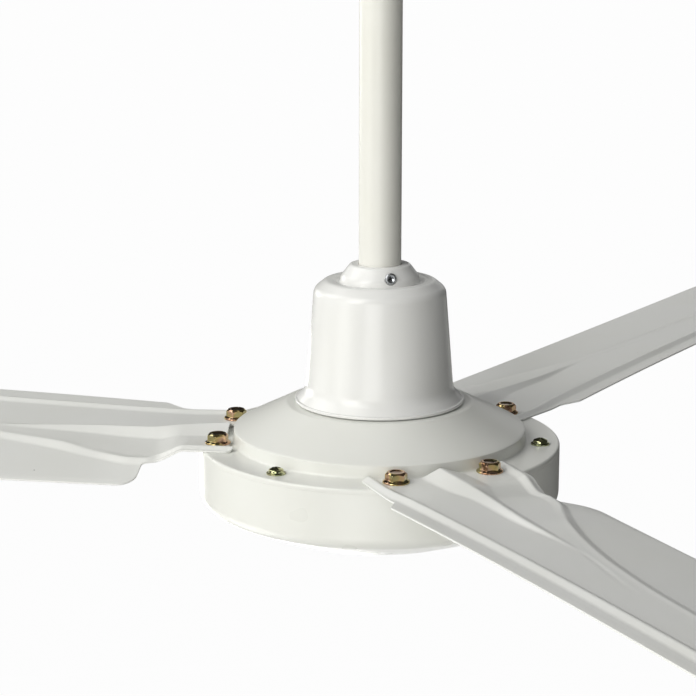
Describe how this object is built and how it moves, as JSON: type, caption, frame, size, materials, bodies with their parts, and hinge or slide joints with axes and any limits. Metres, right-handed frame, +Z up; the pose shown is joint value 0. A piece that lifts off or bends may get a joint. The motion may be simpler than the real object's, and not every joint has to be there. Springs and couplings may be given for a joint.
{
  "type": "ceiling fan",
  "caption": "Ceiling fan on a downrod: pitched pressed-steel blades bolted to the rim of a low drum motor, bell canopies at rod's top and foot, and a hook and roller hanger.",
  "frame": {"origin": "centre of the hanger plate's face against the ceiling", "axes": "+Z up along the downrod and the motor's axis; -X along one blade"},
  "size_m": [1.1348, 1.2747, 0.4775],
  "materials": {
    "blade_enamel": "gloss off-white enamel",
    "housing_enamel": "off-white enamel on cast aluminium",
    "canopy_plastic": "gloss",
    "rod_enamel": "satin enamel",
    "yellow_zinc": "yellow zinc plate",
    "bright_zinc": "bright zinc plate",
    "roller_rubber": "matte",
    "coupling_iron": "as cast, painted",
    "capacitor_case": "semi-gloss",
    "terminal_plastic": "matte",
    "ground_steel": "ground",
    "cage_brass": "pressed",
    "cast_aluminium": "as cast",
    "core_steel": "laminated, varnished",
    "winding_copper": "varnished"
  },
  "bodies": {
    "ceiling_side": {"hanger_plate": "bright_zinc", "hanger_hook": "bright_zinc", "hook_nut": "bright_zinc"},
    "roller": {"hanger_roller": "roller_rubber"},
    "hanging": {"shackle_plates": "bright_zinc", "roller_bolt": "bright_zinc", "roller_nut": "bright_zinc", "roller_split_pin": "bright_zinc", "rod_top_bolt": "bright_zinc", "rod_top_nut": "bright_zinc", "rod_top_split_pin": "bright_zinc", "downrod": "rod_enamel", "rod_coupling": "coupling_iron", "coupling_bolt": "bright_zinc", "coupling_nut": "bright_zinc", "coupling_split_pin": "bright_zinc", "coupling_set_screws": "bright_zinc", "capacitor_clip": "bright_zinc", "capacitor": "capacitor_case", "terminal_block": "terminal_plastic", "motor_shaft": "ground_steel", "shaft_pin": "bright_zinc", "shaft_circlip": "bright_zinc", "stator_hub": "cast_aluminium", "stator_core": "core_steel", "stator_winding": "winding_copper", "upper_bearing_inner_ring": "ground_steel", "lower_bearing_inner_ring": "ground_steel"},
    "ceiling_canopy": {"ceiling_canopy": "canopy_plastic", "ceiling_canopy_screw": "bright_zinc"},
    "motor_canopy": {"motor_canopy": "canopy_plastic", "motor_canopy_screw": "bright_zinc"},
    "rotor": {"upper_cover": "housing_enamel", "lower_cover": "housing_enamel", "wave_washer": "bright_zinc", "rotor_core": "core_steel", "rotor_cage": "cast_aluminium", "upper_bearing_outer_ring": "ground_steel", "lower_bearing_outer_ring": "ground_steel", "blade_1": "blade_enamel", "blade_2": "blade_enamel", "blade_3": "blade_enamel", "blade_bolts": "yellow_zinc", "cover_screws": "yellow_zinc"},
    "upper_ball_set": {"upper_bearing_balls": "ground_steel", "upper_bearing_cage": "cage_brass"},
    "lower_ball_set": {"lower_bearing_balls": "ground_steel", "lower_bearing_cage": "cage_brass"}
  },
  "joints": [
    {"name": "cross_swing", "type": "hinge", "parent": "ceiling_side", "child": "roller", "pos_m": [0, 0, -0.046], "axis": [1, 0, 0], "range_deg": [-3.5, 3.5]},
    {"name": "hanger_swing", "type": "hinge", "parent": "roller", "child": "hanging", "pos_m": [0, 0, -0.034], "axis": [0, 1, 0], "range_deg": [-3.5, 3.5]},
    {"name": "ceiling_canopy_slide", "type": "slide", "parent": "hanging", "child": "ceiling_canopy", "axis": [0, 0, 1], "range_m": [-0.09, 0.004]},
    {"name": "motor_canopy_slide", "type": "slide", "parent": "hanging", "child": "motor_canopy", "axis": [0, 0, 1], "range_m": [0, 0.09]},
    {"name": "rotor_spin", "type": "hinge", "parent": "hanging", "child": "rotor", "pos_m": [0, 0, -0.419], "axis": [0, 0, 1], "continuous": true},
    {"name": "upper_ball_orbit", "type": "hinge", "parent": "hanging", "child": "upper_ball_set", "pos_m": [0, 0, -0.398], "axis": [0, 0, 1], "continuous": true},
    {"name": "lower_ball_orbit", "type": "hinge", "parent": "hanging", "child": "lower_ball_set", "pos_m": [0, 0, -0.463], "axis": [0, 0, 1], "continuous": true}
  ],
  "couplings": [
    {"joint": "upper_ball_orbit", "follows": "rotor_spin", "ratio": 0.61403},
    {"joint": "lower_ball_orbit", "follows": "rotor_spin", "ratio": 0.61403}
  ]
}
